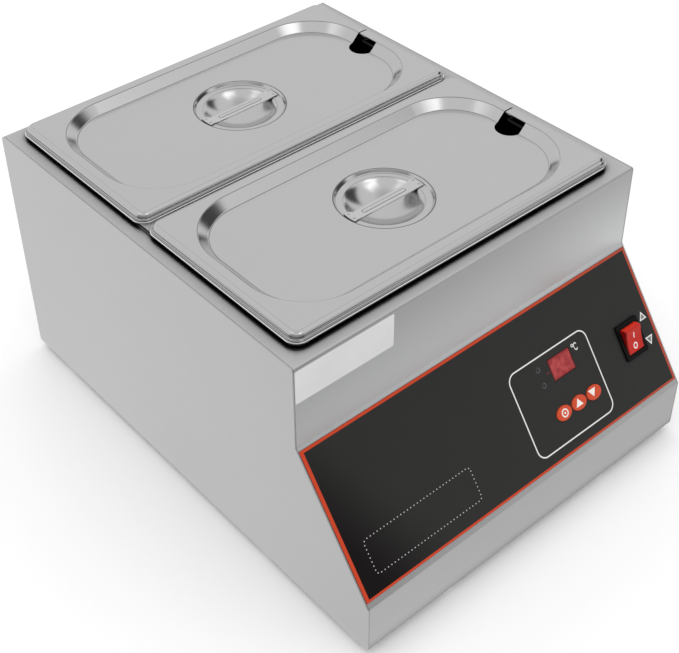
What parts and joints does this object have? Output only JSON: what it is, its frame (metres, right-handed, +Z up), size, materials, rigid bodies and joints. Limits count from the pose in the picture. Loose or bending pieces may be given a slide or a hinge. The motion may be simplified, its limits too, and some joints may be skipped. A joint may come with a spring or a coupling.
{
  "type": "chocolate melting pot",
  "caption": "Countertop chocolate melter: sheet steel housing with a sloping key panel, lift-out pans in dry heated wells, notched lids with finger bowls and strap handles.",
  "frame": {"origin": "middle of the footprint, on the surface that the feet stand on", "axes": "+X to the right along the control panel, +Y from the panel to the back, +Z up"},
  "size_m": [0.35, 0.476, 0.244],
  "materials": {
    "housing_steel": "satin, brushed along X",
    "plate_steel": "plain sheet",
    "pan_steel": "satin, pressed",
    "handle_steel": "polished edges, spot welded",
    "screw_steel": "zinc plated",
    "well_aluminium": "plain, pressed",
    "probe_steel": "plain",
    "mat_silicone": "silicone, matt",
    "wool": "mineral fibre board",
    "cutout_body": "pressed cap",
    "rubber": "matt",
    "foil": "printed foil, fine texture",
    "window_red": "clear dark red",
    "key_orange": "satin",
    "lens": "milky",
    "board": "solder mask",
    "module_dark": "moulded",
    "dark_plastic": "moulded, fine grain",
    "rocker_red": "clear red, moulded",
    "brass": "plain",
    "relay_blue": "moulded",
    "transformer": "laminations and coil",
    "ivory": "moulded",
    "lead_brown": "insulated leads",
    "lead_white": "glass braid",
    "lead_red": "insulated leads"
  },
  "bodies": {
    "housing": {"body_wrap": "housing_steel", "side_panel_left": "housing_steel", "side_panel_right": "housing_steel", "rear_panel": "plate_steel", "base_plate": "plate_steel", "rear_panel_screws": "screw_steel", "base_screws": "screw_steel", "rubber_feet": "rubber", "foot_screws": "screw_steel", "heating_well_front": "well_aluminium", "heating_well_rear": "well_aluminium", "heater_mat_front": "mat_silicone", "heater_mat_rear": "mat_silicone", "heater_clamp_front": "plate_steel", "heater_clamp_rear": "plate_steel", "clamp_studs": "screw_steel", "insulation_front": "wool", "insulation_rear": "wool", "temperature_probe": "probe_steel", "thermal_cutouts": "cutout_body", "control_overlay": "foil", "display_window": "window_red", "indicator_lenses": "lens", "display_board": "board", "display_module": "module_dark", "tact_switches": "dark_plastic", "board_standoffs": "brass", "board_screws": "screw_steel", "rocker_housing": "dark_plastic", "switch_terminals": "brass", "power_board": "board", "power_standoffs": "brass", "relays": "relay_blue", "transformer": "transformer", "board_connectors": "ivory", "terminal_block": "ivory", "cable_gland": "dark_plastic", "gland_locknut": "dark_plastic", "earth_stud": "brass", "mains_wiring": "lead_brown", "switch_wiring": "lead_brown", "heater_wiring": "lead_white", "panel_wiring": "lead_red"},
    "pan_front": {"pan_front": "pan_steel"},
    "pan_rear": {"pan_rear": "pan_steel"},
    "lid_front": {"lid_front": "pan_steel", "lid_handle_front": "handle_steel"},
    "lid_rear": {"lid_rear": "pan_steel", "lid_handle_rear": "handle_steel"},
    "set_key": {"key_set": "key_orange"},
    "up_key": {"key_up": "key_orange"},
    "down_key": {"key_down": "key_orange"},
    "rocker": {"rocker_actuator": "rocker_red"}
  },
  "joints": [
    {"name": "pan_lift_front", "type": "slide", "parent": "housing", "child": "pan_front", "axis": [0, 0, 1], "range_m": [0, 0.14]},
    {"name": "lid_lift_front", "type": "slide", "parent": "pan_front", "child": "lid_front", "axis": [0, 0, 1], "range_m": [0, 0.06]},
    {"name": "pan_lift_rear", "type": "slide", "parent": "housing", "child": "pan_rear", "axis": [0, 0, 1], "range_m": [0, 0.14]},
    {"name": "lid_lift_rear", "type": "slide", "parent": "pan_rear", "child": "lid_rear", "axis": [0, 0, 1], "range_m": [0, 0.06]},
    {"name": "set_key_press", "type": "slide", "parent": "housing", "child": "set_key", "axis": [0, 0.8101, -0.5863], "range_m": [0, 0.0005], "stiffness_N_per_m": 2400, "springref_m": -0.0002},
    {"name": "up_key_press", "type": "slide", "parent": "housing", "child": "up_key", "axis": [0, 0.8101, -0.5863], "range_m": [0, 0.0005], "stiffness_N_per_m": 2400, "springref_m": -0.0002},
    {"name": "down_key_press", "type": "slide", "parent": "housing", "child": "down_key", "axis": [0, 0.8101, -0.5863], "range_m": [0, 0.0005], "stiffness_N_per_m": 2400, "springref_m": -0.0002},
    {"name": "rocker_tilt", "type": "hinge", "parent": "housing", "child": "rocker", "pos_m": [0.1442, -0.20571, 0.10115], "axis": [1, 0, 0], "range_deg": [-32, 0]}
  ]
}
